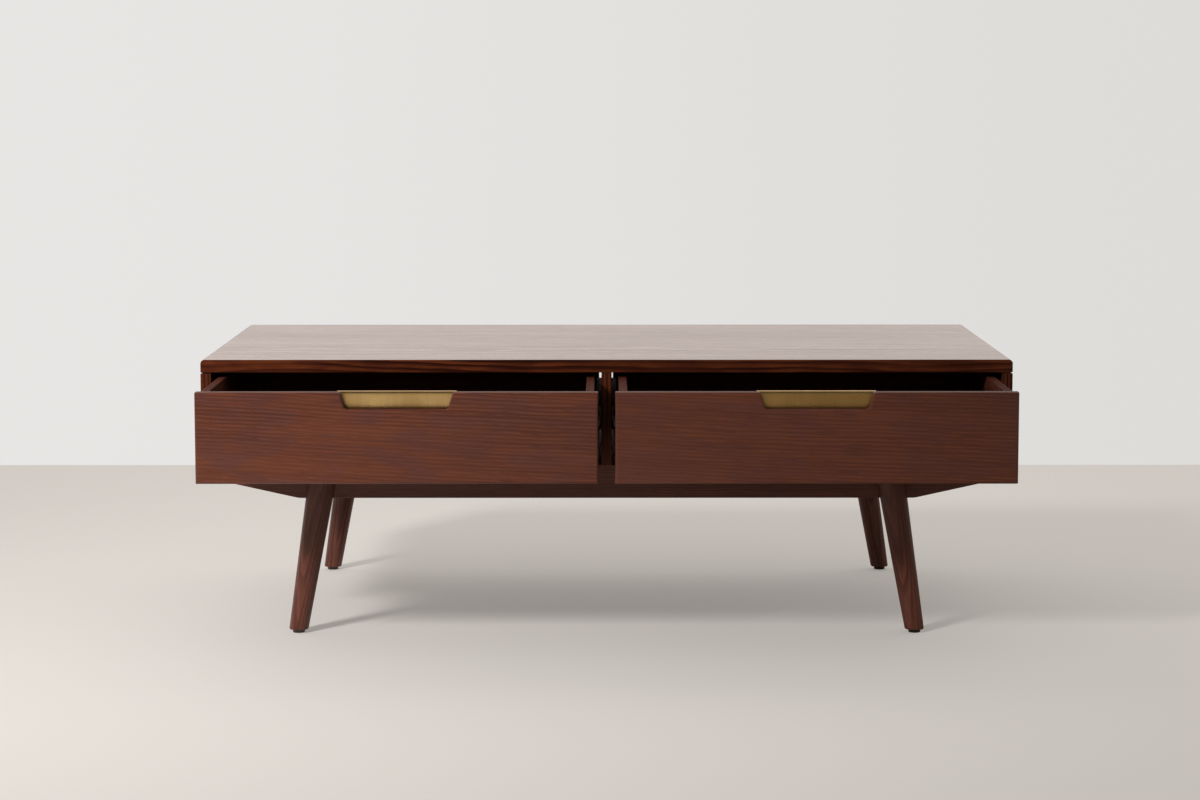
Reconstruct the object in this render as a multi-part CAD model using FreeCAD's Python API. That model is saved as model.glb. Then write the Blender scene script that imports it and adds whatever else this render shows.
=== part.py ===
import FreeCAD, Part
import math
import os

# Low coffee table on splayed legs, with two drawers side by side that stand part open.
# Millimetres. X runs to the right, Y to the back, Z up. The origin lies on the floor under the middle of the
# whole outline, which at rest reaches from the open drawer fronts to the rear edge of the top.

# Overall size
table_width = 1200.0
table_depth = 600.0
table_height = 412.0
rest_pull = 210.0

# Top board
top_thickness = 19.0
top_end_round = 6.0
top_lower_round = 1.5
edge_round = 1.0

# Carcass boards
panel_thickness = 15.0
opening_height = 138.0
shadow_gap_height = 2.0
shadow_gap_depth = 3.0
back_thickness = 6.0
back_inset = 10.0
back_tongue = 5.0
back_slit = 4.0

# Carcass dowels
dowel_radius = 4.0
dowel_length = 30.0
dowel_face_depth = 10.0
dowel_place_shares = (0.12, 0.5, 0.88)

# Base rails
rail_height = 37.0
rail_thickness = 22.0
rail_setback = 20.0
rail_end_inset = 12.0
rail_end_height = 8.5
rail_taper_length = 129.0
rail_knee_round = 40.0

# Cross rails
cross_rail_end_inset = 260.0
cross_rail_thickness = 20.0
cross_rail_height = 30.0
tenon_length = 10.0
tenon_shoulder = 5.0

# Legs
leg_head_radius = 21.2
leg_foot_radius = 14.0
leg_head_end_inset = 178.0
leg_foot_end_inset = 138.0
leg_edge_inset = 21.2
leg_foot_round = 1.5

# Foot glides
glide_radius = 9.0
glide_height = 5.0
glide_round = 1.2
glide_pin_radius = 2.0
glide_pin_length = 14.0

# Leg bolts
bolt_radius = 3.0
bolt_bite = 14.0
bolt_head_radius = 5.8
bolt_head_height = 4.0
bolt_head_sides = 6
bolt_place_shares = (0.28, 0.72)

# Base screws
base_screw_radius = 2.2
base_screw_head_radius = 4.4
base_screw_length = 32.0
base_screw_bite = 10.0
cross_rail_screw_shares = (0.15, 0.85)
rail_screw_spread_shares = (-0.3, 0.3)

# Drawer fronts
front_thickness = 18.0
front_round = 3.0
front_side_gap = 4.5
front_top_gap = 6.5
front_bottom_gap = 1.5

# Drawer boxes
box_length = 460.0
box_side_thickness = 12.0
box_back_thickness = 12.0
box_side_lift = 12.0
box_side_drop = 1.0
box_bottom_thickness = 6.0
box_bottom_lift = 8.0
box_groove_depth = 6.0
box_dowel_radius = 3.0
box_dowel_length = 24.0
box_dowel_face_depth = 7.0
box_dowel_place_shares = (0.3, 0.8)

# Notch and brass pull
notch_top_width = 160.0
notch_bottom_width = 145.0
notch_depth = 24.0
notch_round = 6.0
notch_shoulder_round = 4.5
pull_wall = 1.5
pull_flange = 12.0
pull_corner_round = 4.0
pull_shoulder_drop = 6.0
pull_fold_round = 2.5
pull_lip_depth = 8.0
pull_screw_radius = 1.3
pull_screw_head_radius = 2.6
pull_screw_length = 11.0
pull_screw_spread_shares = (-0.42, -0.14, 0.14, 0.42)

# Ball-bearing runners
runner_gap = 10.0
runner_length = 400.0
runner_travel = 300.0
runner_setback = 20.0
runner_wall = 1.2
cabinet_member_height = 35.0
cabinet_member_depth = 8.6
cabinet_member_lip = 1.1
drawer_member_height = 24.2
drawer_member_depth = 7.1
ball_radius = 2.4
ball_offset = 5.2
balls_per_row = 3
cage_wall = 0.8
cage_offset = 1.6
cage_depth = 6.8
cage_end_margin = 5.0

# Runner screws
runner_screw_radius = 1.6
runner_screw_head_radius = 3.0
runner_screw_length = 8.0
runner_screw_place_shares = (0.1, 0.9)

# Clearances
joint_clearance = 0.1
dowel_clearance = 0.05
race_clearance = 0.15
cut_overrun = 2.0
match_tolerance = 0.01

# Places that follow from the sizes
front_y = rest_pull - (table_depth + rest_pull) / 2
middle_y = front_y + table_depth / 2
under_top_z = table_height - top_thickness
opening_floor_z = under_top_z - opening_height
base_z = opening_floor_z - panel_thickness
rail_bottom_z = base_z - rail_height
inner_x = table_width / 2 - panel_thickness
divider_x = panel_thickness / 2
opening_width = inner_x - divider_x
opening_centre_x = (inner_x + divider_x) / 2
cross_rail_x = table_width / 2 - cross_rail_end_inset
leg_head_x = table_width / 2 - leg_head_end_inset
leg_foot_x = table_width / 2 - leg_foot_end_inset
runner_z = opening_floor_z + opening_height / 2
runner_front_y = front_y + runner_setback
ball_height = (cabinet_member_height / 2 - runner_wall + drawer_member_height / 2) / 2
cage_length = runner_length - runner_travel - 2 * cage_end_margin

up = FreeCAD.Vector(0, 0, 1)
along_y = FreeCAD.Vector(0, 1, 0)
parts = {}


def point(x, y, z):
    return FreeCAD.Vector(x, y, z)


def board(x_ends, y_ends, z_ends):
    low = [min(ends) for ends in (x_ends, y_ends, z_ends)]
    high = [max(ends) for ends in (x_ends, y_ends, z_ends)]
    size = [b - a for a, b in zip(low, high)]
    return Part.makeBox(*size, point(*low))


def prism(outline, sweep):
    wire = Part.makePolygon(outline + outline[:1])
    return Part.Face(wire).extrude(sweep)


def rod(start, direction, radius, length):
    return Part.makeCylinder(radius, length, start, direction)


def rounded(shape, radius, wanted):
    edges = [edge for edge in shape.Edges if wanted(edge.BoundBox)]
    return shape.makeFillet(radius, edges)


def near(a, b):
    return abs(a - b) < match_tolerance


def share_of(ends, share):
    return ends[0] + share * (ends[1] - ends[0])


def from_edge(end, distance):
    """Y at a distance in from the front edge (end -1) or the rear edge (end 1)."""
    return middle_y + end * (table_depth / 2 - distance)


def flat_head_screw(head, direction, radius, head_radius, length, spare):
    """Countersunk screw from the middle of its flat head, grown by spare to make its hole."""
    cone_height = head_radius - radius
    cone = Part.makeCone(head_radius + spare, radius + spare, cone_height, head, direction)
    return cone.fuse(rod(head, direction, radius + spare, length + spare))


# Carcass dowels: each place is the middle of a joint line, with its direction into the board's face
def carcass_dowels(spare):
    depth = (from_edge(-1, 0), from_edge(1, 0))
    pegs = []
    for share in dowel_place_shares:
        y = share_of(depth, share)
        for x in (-table_width / 2 + panel_thickness / 2, 0, table_width / 2 - panel_thickness / 2):
            pegs.append((point(x, y, under_top_z), up))
        pegs.append((point(0, y, opening_floor_z), -up))
        for side in (-1, 1):
            seam = point(side * inner_x, y, opening_floor_z - panel_thickness / 2)
            pegs.append((seam, point(side, 0, 0)))
    rods = []
    for seam, inward in pegs:
        start = seam - inward * (dowel_length - dowel_face_depth + spare)
        rods.append(rod(start, inward, dowel_radius + spare, dowel_length + 2 * spare))
    return rods


# Back panels stand in grooves in the top, the sides and the bottom panel
def back_groove(side):
    spare = joint_clearance
    x_ends = (side * (divider_x + back_slit - spare), side * (inner_x + back_tongue + spare))
    y_ends = (from_edge(1, back_inset - spare), from_edge(1, back_inset + back_thickness + spare))
    z_ends = (opening_floor_z - back_tongue - spare, under_top_z + back_tongue + spare)
    return board(x_ends, y_ends, z_ends)


def back_panel(side):
    x_ends = (side * (divider_x + back_slit), side * (inner_x + back_tongue))
    y_ends = (from_edge(1, back_inset), from_edge(1, back_inset + back_thickness))
    z_ends = (opening_floor_z - back_tongue, under_top_z + back_tongue)
    return board(x_ends, y_ends, z_ends)


def top_panel():
    half = table_width / 2
    shape = board((-half, half), (from_edge(-1, 0), from_edge(1, 0)), (under_top_z, table_height))
    shape = rounded(shape, top_end_round, lambda b: near(b.XLength, 0) and near(b.ZMin, table_height))
    shape = rounded(shape, top_lower_round, lambda b: near(b.XLength, 0) and near(b.ZMax, under_top_z))
    shape = rounded(shape, edge_round, lambda b: near(b.YLength, 0))
    return shape.cut([back_groove(-1), back_groove(1)] + carcass_dowels(dowel_clearance))


# Runners: u runs from the carcass face towards the drawer, w up from the runner's middle line
def channel(x_web, toward, y_ends, half_height, depth, wall, lip):
    upper = [(depth, half_height)]
    if lip:
        upper += [(depth, half_height - wall - lip), (depth - wall, half_height - wall - lip)]
        upper += [(depth - wall, half_height - wall)]
    else:
        upper += [(depth, half_height - wall)]
    upper += [(wall, half_height - wall)]
    lower = [(u, -w) for u, w in reversed(upper)]
    profile = [(0, -half_height), (0, half_height)] + upper + lower
    outline = [point(x_web + toward * u, y_ends[0], runner_z + w) for u, w in profile]
    return prism(outline, along_y * (y_ends[1] - y_ends[0]))


def raceways(x_face, toward, y_ends):
    length = y_ends[1] - y_ends[0] + 2 * cut_overrun
    x = x_face + toward * ball_offset
    grooves = []
    for row in (-1, 1):
        start = point(x, y_ends[0] - cut_overrun, runner_z + row * ball_height)
        grooves.append(rod(start, along_y, ball_radius + race_clearance, length))
    return grooves


def runner_screws(x_head, direction_x, y_ends, spare):
    direction = point(direction_x, 0, 0)
    screws = []
    for share in runner_screw_place_shares:
        head = point(x_head, share_of(y_ends, share), runner_z)
        args = (runner_screw_radius, runner_screw_head_radius, runner_screw_length, spare)
        screws.append(flat_head_screw(head, direction, *args))
    return screws


class Runner:
    """One runner between a carcass face and a drawer side; hand -1 is on the drawer's left."""

    def __init__(self, centre_x, hand):
        self.face_x = centre_x + hand * opening_width / 2
        self.toward = -hand
        self.drawer_x = self.face_x + self.toward * runner_gap
        self.cabinet_ends = (runner_front_y, runner_front_y + runner_length)
        self.drawer_ends = tuple(y - rest_pull for y in self.cabinet_ends)
        cage_middle = sum(self.cabinet_ends) / 2 - rest_pull / 2
        self.cage_ends = (cage_middle - cage_length / 2, cage_middle + cage_length / 2)

    def cabinet_screws(self, spare):
        head_x = self.face_x + self.toward * runner_wall
        return runner_screws(head_x, -self.toward, self.cabinet_ends, spare)

    def drawer_screws(self, spare):
        head_x = self.drawer_x - self.toward * runner_wall
        return runner_screws(head_x, self.toward, self.drawer_ends, spare)

    def cabinet_member(self):
        sizes = (cabinet_member_height / 2, cabinet_member_depth, runner_wall, cabinet_member_lip)
        shape = channel(self.face_x, self.toward, self.cabinet_ends, *sizes)
        tools = raceways(self.face_x, self.toward, self.cabinet_ends)
        return shape.cut(tools + self.cabinet_screws(dowel_clearance))

    def drawer_member(self):
        sizes = (drawer_member_height / 2, drawer_member_depth, runner_wall, 0)
        shape = channel(self.drawer_x, -self.toward, self.drawer_ends, *sizes)
        tools = raceways(self.face_x, self.toward, self.drawer_ends)
        return shape.cut(tools + self.drawer_screws(dowel_clearance))

    def balls(self, spare):
        x = self.face_x + self.toward * ball_offset
        pitch = cage_length / balls_per_row
        spheres = []
        for row in (-1, 1):
            for number in range(balls_per_row):
                y = self.cage_ends[0] + (number + 1 / 2) * pitch
                centre = point(x, y, runner_z + row * ball_height)
                spheres.append(Part.makeSphere(ball_radius + spare, centre))
        return spheres

    def cage(self):
        sizes = (ball_height + cage_wall / 2, cage_depth, cage_wall, 0)
        web_x = self.face_x + self.toward * cage_offset
        return channel(web_x, self.toward, self.cage_ends, *sizes).cut(self.balls(race_clearance))


# Drawers
class Drawer:
    """One drawer at rest, standing open by rest_pull."""

    def __init__(self, name, centre_x):
        self.name = name
        self.x = centre_x
        self.face_y = front_y - rest_pull
        self.inner_y = self.face_y + front_thickness
        self.end_y = self.inner_y + box_length
        self.top_z = under_top_z - front_top_gap
        self.low_z = opening_floor_z + front_bottom_gap
        self.side_ends = (opening_floor_z + box_side_lift, self.top_z - box_side_drop)
        self.floor_z = self.side_ends[0] + box_bottom_lift
        self.deck_z = self.floor_z + box_bottom_thickness
        self.box_half = opening_width / 2 - runner_gap
        self.clear_half = self.box_half - box_side_thickness
        self.front_half = opening_width / 2 - front_side_gap
        self.runners = {"left": Runner(centre_x, -1), "right": Runner(centre_x, 1)}

    def notch(self):
        """Block that cuts the notch: a trapezium with rounded lower corners, run past the top edge."""
        slope = (notch_top_width - notch_bottom_width) / 2 / notch_depth
        floor_z = self.top_z - notch_depth
        upper_half = notch_top_width / 2 + slope * cut_overrun
        corners = [(-upper_half, self.top_z + cut_overrun), (-notch_bottom_width / 2, floor_z)]
        corners += [(-x, z) for x, z in reversed(corners)]
        outline = [point(self.x + x, self.face_y - cut_overrun, z) for x, z in corners]
        block = prism(outline, along_y * (front_thickness + 2 * cut_overrun))
        return rounded(block, notch_round, lambda b: near(b.XLength, 0) and near(b.ZMax, floor_z))

    def bottom_board(self, spare):
        half = self.clear_half + box_groove_depth
        x_ends = (self.x - half - spare, self.x + half + spare)
        y_ends = (self.inner_y - box_groove_depth - spare, self.end_y)
        return board(x_ends, y_ends, (self.floor_z - spare, self.deck_z + spare))

    def dowels(self, spare):
        rods = []
        back_y = self.end_y - box_back_thickness / 2
        for share in box_dowel_place_shares:
            z = share_of(self.side_ends, share)
            for hand in (-1, 1):
                side_x = self.x + hand * (self.box_half - box_side_thickness / 2)
                rods.append((point(side_x, self.inner_y, z), point(0, -1, 0)))
                rods.append((point(self.x + hand * self.clear_half, back_y, z), point(hand, 0, 0)))
        length = box_dowel_length + 2 * spare
        lead = box_dowel_length - box_dowel_face_depth + spare
        return [rod(seam - inward * lead, inward, box_dowel_radius + spare, length) for seam, inward in rods]

    def pull_screws(self, spare):
        z = self.top_z - notch_depth - pull_flange / 2
        head_y = self.inner_y + pull_wall
        args = (pull_screw_radius, pull_screw_head_radius, pull_screw_length, spare)
        heads = [point(self.x + share * notch_bottom_width, head_y, z) for share in pull_screw_spread_shares]
        return [flat_head_screw(head, -along_y, *args) for head in heads]

    def front(self):
        x_ends = (self.x - self.front_half, self.x + self.front_half)
        shape = board(x_ends, (self.face_y, self.inner_y), (self.low_z, self.top_z))
        shape = shape.cut(self.notch())
        shape = rounded(shape, notch_shoulder_round, lambda b: near(b.XLength, 0) and near(b.ZMin, self.top_z)
                        and near(abs(b.XMin - self.x), notch_top_width / 2))
        shape = rounded(shape, front_round, lambda b: near(b.YLength, 0) and near(b.YMin, self.face_y))
        tools = [self.bottom_board(joint_clearance)] + self.dowels(dowel_clearance)
        return shape.cut(tools + self.pull_screws(dowel_clearance))

    def pull(self):
        """Brass plate that closes the notch from behind, with a lip folded back over its upper edge."""
        half = notch_top_width / 2 + pull_flange
        low_z = self.top_z - notch_depth - pull_flange
        rear_y = self.inner_y + pull_wall
        under_lip_z = self.top_z - pull_wall
        plate_z = (low_z, self.top_z - pull_shoulder_drop)
        plate = board((self.x - half, self.x + half), (self.inner_y, rear_y), plate_z)
        plate = rounded(plate, pull_corner_round, lambda b: near(b.XLength, 0) and near(b.ZLength, 0))
        tongue_half = notch_top_width / 2 + notch_shoulder_round
        tongue_x = (self.x - tongue_half, self.x + tongue_half)
        tongue = board(tongue_x, (self.inner_y, rear_y), (low_z, self.top_z))
        lip = board(tongue_x, (self.inner_y, self.inner_y + pull_lip_depth), (under_lip_z, self.top_z))
        fold = tongue.fuse(lip).removeSplitter()
        fold = rounded(fold, pull_fold_round, lambda b: near(b.YMax, self.inner_y)
                       and near(b.ZMin, self.top_z))
        fold = rounded(fold, pull_fold_round - pull_wall, lambda b: near(b.YMin, rear_y)
                       and near(b.YMax, rear_y) and near(b.ZMin, under_lip_z))
        return plate.fuse(fold).removeSplitter().cut(self.pull_screws(dowel_clearance))

    def side(self, name, hand):
        x_ends = (self.x + hand * self.clear_half, self.x + hand * self.box_half)
        shape = board(x_ends, (self.inner_y, self.end_y), self.side_ends)
        shape = rounded(shape, edge_round, lambda b: near(b.XLength, 0) and near(b.ZMin, self.side_ends[1]))
        tools = [self.bottom_board(joint_clearance)] + self.dowels(dowel_clearance)
        return shape.cut(tools + self.runners[name].drawer_screws(dowel_clearance))

    def back(self):
        x_ends = (self.x - self.clear_half, self.x + self.clear_half)
        y_ends = (self.end_y - box_back_thickness, self.end_y)
        shape = board(x_ends, y_ends, (self.deck_z, self.side_ends[1]))
        shape = rounded(shape, edge_round, lambda b: near(b.YLength, 0) and near(b.ZMin, self.side_ends[1]))
        return shape.cut(self.dowels(dowel_clearance))

    def build(self):
        prefix = self.name + "_drawer_"
        parts[prefix + "front"] = self.front()
        parts[prefix + "pull"] = self.pull()
        parts[prefix + "back"] = self.back()
        parts[prefix + "bottom"] = self.bottom_board(0)
        parts[prefix + "dowels"] = Part.makeCompound(self.dowels(0))
        parts[prefix + "pull_screws"] = Part.makeCompound(self.pull_screws(0))
        screws = []
        cages = []
        balls = []
        for hand_name, runner in self.runners.items():
            parts[prefix + hand_name + "_side"] = self.side(hand_name, -runner.toward)
            parts[prefix + hand_name + "_cabinet_runner"] = runner.cabinet_member()
            parts[prefix + hand_name + "_drawer_runner"] = runner.drawer_member()
            screws += runner.drawer_screws(0)
            cages.append(runner.cage())
            balls += runner.balls(0)
        parts[prefix + "runner_screws"] = Part.makeCompound(screws)
        parts[prefix + "ball_cages"] = Part.makeCompound(cages)
        parts[prefix + "balls"] = Part.makeCompound(balls)


drawers = [Drawer("left", -opening_centre_x), Drawer("right", opening_centre_x)]


def cabinet_runner_screws(spare):
    return [screw for drawer in drawers for runner in drawer.runners.values()
            for screw in runner.cabinet_screws(spare)]


# Carcass panels
def side_panel(side):
    outer_x = side * table_width / 2
    depth = (from_edge(-1, 0), from_edge(1, 0))
    shape = board((side * inner_x, outer_x), depth, (base_z, under_top_z))
    shape = rounded(shape, edge_round, lambda b: near(b.XMin, outer_x) and near(b.XMax, outer_x)
                    and near(b.YLength, 0))
    gap_z = (under_top_z - shadow_gap_height, under_top_z + cut_overrun)
    rim = board((outer_x + side * cut_overrun, outer_x - side * shadow_gap_depth), depth, gap_z)
    tools = [rim, back_groove(side)]
    for end in (-1, 1):
        y_ends = (from_edge(end, -cut_overrun), from_edge(end, shadow_gap_depth))
        tools.append(board((side * inner_x - side * cut_overrun, outer_x), y_ends, gap_z))
    return shape.cut(tools + carcass_dowels(dowel_clearance) + cabinet_runner_screws(dowel_clearance))


def centre_divider():
    y_ends = (from_edge(-1, 0), from_edge(1, back_inset))
    shape = board((-divider_x, divider_x), y_ends, (opening_floor_z, under_top_z))
    shape = rounded(shape, edge_round, lambda b: near(b.XLength, 0) and near(b.YMax, y_ends[0]))
    return shape.cut(carcass_dowels(dowel_clearance) + cabinet_runner_screws(dowel_clearance))


def bottom_panel():
    depth = (from_edge(-1, 0), from_edge(1, 0))
    shape = board((-inner_x, inner_x), depth, (base_z, opening_floor_z))
    shape = rounded(shape, edge_round, lambda b: near(b.YLength, 0) and near(b.ZMax, base_z))
    tools = [back_groove(-1), back_groove(1)] + carcass_dowels(dowel_clearance)
    return shape.cut(tools + base_screws(dowel_clearance))


# Base: two boat-shaped rails, two cross rails tenoned between them, four legs lapped on the rails
def cross_rail(side, spare):
    middle_x = side * cross_rail_x
    x_ends = (middle_x - cross_rail_thickness / 2, middle_x + cross_rail_thickness / 2)
    y_ends = (from_edge(-1, rail_setback + rail_thickness), from_edge(1, rail_setback + rail_thickness))
    low_z = base_z - cross_rail_height
    bar = board(x_ends, y_ends, (low_z, base_z))
    tenon_x = (x_ends[0] + tenon_shoulder - spare, x_ends[1] - tenon_shoulder + spare)
    tenon_y = (y_ends[0] - tenon_length - spare, y_ends[1] + tenon_length + spare)
    tenon_z = (low_z + tenon_shoulder - spare, base_z - tenon_shoulder + spare)
    return bar.fuse(board(tenon_x, tenon_y, tenon_z)).removeSplitter()


def base_screw_heads():
    head_z = base_z + base_screw_bite - base_screw_length
    rail_reach = rail_setback + rail_thickness
    cross_depth = (from_edge(-1, rail_reach), from_edge(1, rail_reach))
    heads = []
    for side in (-1, 1):
        for share in cross_rail_screw_shares:
            heads.append(point(side * cross_rail_x, share_of(cross_depth, share), head_z))
        for share in rail_screw_spread_shares:
            y = from_edge(side, rail_setback + rail_thickness / 2)
            heads.append(point(share * table_width / 2, y, head_z))
    return heads


def base_screws(spare):
    sizes = (base_screw_radius, base_screw_head_radius, base_screw_length, spare)
    return [flat_head_screw(head, up, *sizes) for head in base_screw_heads()]


def base_screw_wells():
    depth = base_screw_length - base_screw_bite
    wells = []
    for head in base_screw_heads():
        radius = base_screw_head_radius + dowel_clearance
        wells.append(rod(head, -up, radius, rail_height - depth + cut_overrun))
    return wells


def leg_axis_x(side, z):
    return side * (leg_foot_x + (leg_head_x - leg_foot_x) * z / base_z)


def leg_bolt_places(end):
    places = []
    for side in (-1, 1):
        for share in bolt_place_shares:
            z = share_of((rail_bottom_z, base_z), share)
            places.append(point(leg_axis_x(side, z), from_edge(end, rail_setback + rail_thickness), z))
    return places


def bolt_shanks(end, spare):
    outward = point(0, end, 0)
    length = rail_thickness + bolt_bite + spare
    return [rod(place, outward, bolt_radius + spare, length) for place in leg_bolt_places(end)]


def leg_bolts():
    bolts = []
    for end in (-1, 1):
        for place, shank in zip(leg_bolt_places(end), bolt_shanks(end, 0)):
            corners = []
            for number in range(bolt_head_sides):
                angle = number * math.tau / bolt_head_sides
                offset = point(math.cos(angle), 0, math.sin(angle))
                corners.append(place + offset * bolt_head_radius)
            bolts.append(prism(corners, point(0, -end, 0) * bolt_head_height).fuse(shank))
    return bolts


def base_rail(end):
    half = table_width / 2 - rail_end_inset
    knee = half - rail_taper_length
    right = [(half, base_z), (half, base_z - rail_end_height), (knee, rail_bottom_z)]
    profile = right + [(-x, z) for x, z in reversed(right)]
    face_y = from_edge(end, rail_setback)
    outline = [point(x, face_y, z) for x, z in profile]
    shape = prism(outline, point(0, -end, 0) * rail_thickness)
    shape = rounded(shape, rail_knee_round, lambda b: near(b.XLength, 0) and near(b.ZMax, rail_bottom_z))
    taper_z = base_z - rail_end_height - match_tolerance
    shape = rounded(shape, edge_round, lambda b: near(b.YLength, 0) and b.ZMin < taper_z)
    tools = [cross_rail(side, joint_clearance) for side in (-1, 1)]
    tools += bolt_shanks(end, joint_clearance) + base_screws(dowel_clearance) + base_screw_wells()
    return shape.cut(tools)


def foot_places():
    return [point(leg_axis_x(side, glide_height), from_edge(end, leg_edge_inset), 0)
            for end in (-1, 1) for side in (-1, 1)]


def glide_pins(spare):
    length = glide_height + glide_pin_length + spare
    return [rod(place, up, glide_pin_radius + spare, length) for place in foot_places()]


def foot_glides():
    glides = []
    for place, pin in zip(foot_places(), glide_pins(0)):
        pad = rod(place, up, glide_radius, glide_height)
        pad = rounded(pad, glide_round, lambda b: near(b.ZMax, 0))
        glides.append(pad.fuse(pin).removeSplitter())
    return glides


def leg(side, end):
    y = from_edge(end, leg_edge_inset)
    foot = point(leg_axis_x(side, 0), y, 0)
    head = point(leg_axis_x(side, base_z), y, base_z)
    axis = head - foot
    growth = (leg_head_radius - leg_foot_radius) / axis.Length
    direction = FreeCAD.Vector(axis).normalize()
    spare = leg_head_radius
    radii = (leg_foot_radius - growth * spare, leg_head_radius + growth * spare)
    shape = Part.makeCone(*radii, axis.Length + 2 * spare, foot - direction * spare, direction)
    half = table_width / 2
    reach = (from_edge(end, -leg_head_radius), middle_y)
    shape = shape.common(board((-half, half), reach, (glide_height, base_z)))
    shape = rounded(shape, leg_foot_round, lambda b: near(b.ZMax, glide_height))
    lap_y = (from_edge(end, rail_setback), middle_y)
    lap = board((-half, half), lap_y, (rail_bottom_z, base_z + cut_overrun))
    return shape.cut([lap] + bolt_shanks(end, joint_clearance) + glide_pins(dowel_clearance))


for drawer in drawers:
    drawer.build()

parts["top_panel"] = top_panel()
parts["centre_divider"] = centre_divider()
parts["bottom_panel"] = bottom_panel()
for side_name, side in (("left", -1), ("right", 1)):
    parts[side_name + "_side_panel"] = side_panel(side)
    parts[side_name + "_back_panel"] = back_panel(side)
    screw_holes = base_screws(dowel_clearance) + base_screw_wells()
    parts[side_name + "_cross_rail"] = cross_rail(side, 0).cut(screw_holes)
for end_name, end in (("front", -1), ("rear", 1)):
    parts[end_name + "_rail"] = base_rail(end)
    for side_name, side in (("left", -1), ("right", 1)):
        parts[end_name + "_" + side_name + "_leg"] = leg(side, end)
parts["foot_glides"] = Part.makeCompound(foot_glides())
parts["leg_bolts"] = Part.makeCompound(leg_bolts())
parts["base_screws"] = Part.makeCompound(base_screws(0))
parts["carcass_dowels"] = Part.makeCompound(carcass_dowels(0))
parts["cabinet_runner_screws"] = Part.makeCompound(cabinet_runner_screws(0))

os.makedirs("parts", exist_ok=True)
for node, shape in parts.items():
    shape.exportStep("parts/" + node + ".step")
    print(node, len(shape.Solids), "solids", shape.isValid(), round(shape.Volume))
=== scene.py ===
"""Looks of a low coffee table with two drawers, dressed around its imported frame.

Metres throughout: X runs to the right, Y to the back and Z up, as in the frame.
"""
import logging
import math
from dataclasses import dataclass, replace
from enum import Enum, IntEnum

import bmesh
import bpy
import numpy as np
from mathutils import Matrix, Vector


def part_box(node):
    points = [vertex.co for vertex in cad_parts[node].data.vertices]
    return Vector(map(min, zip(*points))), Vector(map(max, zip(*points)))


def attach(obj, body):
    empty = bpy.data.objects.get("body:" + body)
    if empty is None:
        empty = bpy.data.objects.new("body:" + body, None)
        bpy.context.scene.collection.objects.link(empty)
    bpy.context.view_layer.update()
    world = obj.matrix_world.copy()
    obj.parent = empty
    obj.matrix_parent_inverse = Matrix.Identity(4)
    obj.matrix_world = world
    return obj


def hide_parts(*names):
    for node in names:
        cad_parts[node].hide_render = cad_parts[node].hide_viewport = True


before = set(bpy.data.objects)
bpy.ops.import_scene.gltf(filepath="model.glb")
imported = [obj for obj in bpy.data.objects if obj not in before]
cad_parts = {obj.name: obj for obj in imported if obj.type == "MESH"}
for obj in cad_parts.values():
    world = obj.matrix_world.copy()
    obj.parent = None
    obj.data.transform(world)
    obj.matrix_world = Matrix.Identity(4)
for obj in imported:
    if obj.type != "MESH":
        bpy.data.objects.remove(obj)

LOG = logging.getLogger("coffee_table")
WELD_DISTANCE = 1e-7
SHARP_ANGLE = math.radians(38.0)
NOISE_MIDDLE = 0.5
WHITE = (1.0, 1.0, 1.0)
ORIGIN = (0.0, 0.0, 0.0)
ACROSS_GRAIN = (0.0, 1.0, 1.0)
DOWEL_HEART = (0.0, 0.05, 0.05)
Array = np.ndarray
Colour = tuple[float, float, float]
Point = tuple[float, float, float]
Span = tuple[float, float]
Socket = bpy.types.NodeSocket


class Way(Enum):
    """Way across the table, as the sign of an axis."""

    @property
    def word(self) -> str:
        """Name of the way as the frame's nodes spell it."""
        return self.name.lower()


class Hand(Way):
    """Side of the table, as the sign of X."""

    LEFT = -1
    RIGHT = 1


class Edge(Way):
    """Long edge of the table, as the sign of Y."""

    FRONT = -1
    REAR = 1


class GrainRun(Enum):
    """Way that the grain runs in a piece, as the turn that lays it along X."""

    ALONG_X = (0.0, 0.0, 0.0)
    ALONG_Y = (0.0, 0.0, -math.pi / 2)
    ALONG_Z = (0.0, math.pi / 2, 0.0)


class TopFace(IntEnum):
    """Kind of face on the top board, as the number of its finish."""

    EDGE = 0
    UPPER = 1
    END = 2


class Mixed(Enum):
    """Kind of value that is mixed, as the node's setting and the ending of its sockets."""

    PLACE = ("VECTOR", "Vector")
    COLOUR = ("RGBA", "Color")


# Surfaces


@dataclass(frozen=True)
class Shell:
    """One closed surface before it becomes a mesh: its points and its faces."""

    points: Array
    faces: list[tuple[int, ...]]


def loft(rings: Array) -> Shell:
    """Skins a stack of closed rings and caps both ends.

    Formula: each quad joins points j and j + 1 of ring i with the same points of ring i + 1, and the first
    and last rings are filled as flat faces.

    Args:
        rings: Points as an array of ring, point and coordinate.

    Returns:
        The closed surface.
    """
    count, width = rings.shape[:2]
    index = np.arange(count * width).reshape(count, width)
    after = np.roll(index, -1, axis=1)
    quads = np.stack([index[:-1], after[:-1], after[1:], index[1:]], axis=-1).reshape(-1, 4)
    faces = [tuple(quad) for quad in quads.tolist()]
    faces += [tuple(index[0, ::-1].tolist()), tuple(index[-1].tolist())]
    return Shell(rings.reshape(-1, 3), faces)


def quarter_turn(spans: int) -> Array:
    """Angles of a quarter circle in even spans."""
    return np.linspace(0.0, math.pi / 2, spans + 1)


def full_turn(spans: int) -> Array:
    """Angles of a whole circle in even spans, with no repeat of the first."""
    return np.linspace(0.0, math.tau, spans, endpoint=False)


def quarter_round(spans: int) -> Array:
    """Quarter circle of radius one, as rows of inset, one less the sine, and depth, one less the cosine."""
    turn = quarter_turn(spans)
    return 1.0 - np.stack([np.sin(turn), np.cos(turn)], axis=1)


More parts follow.
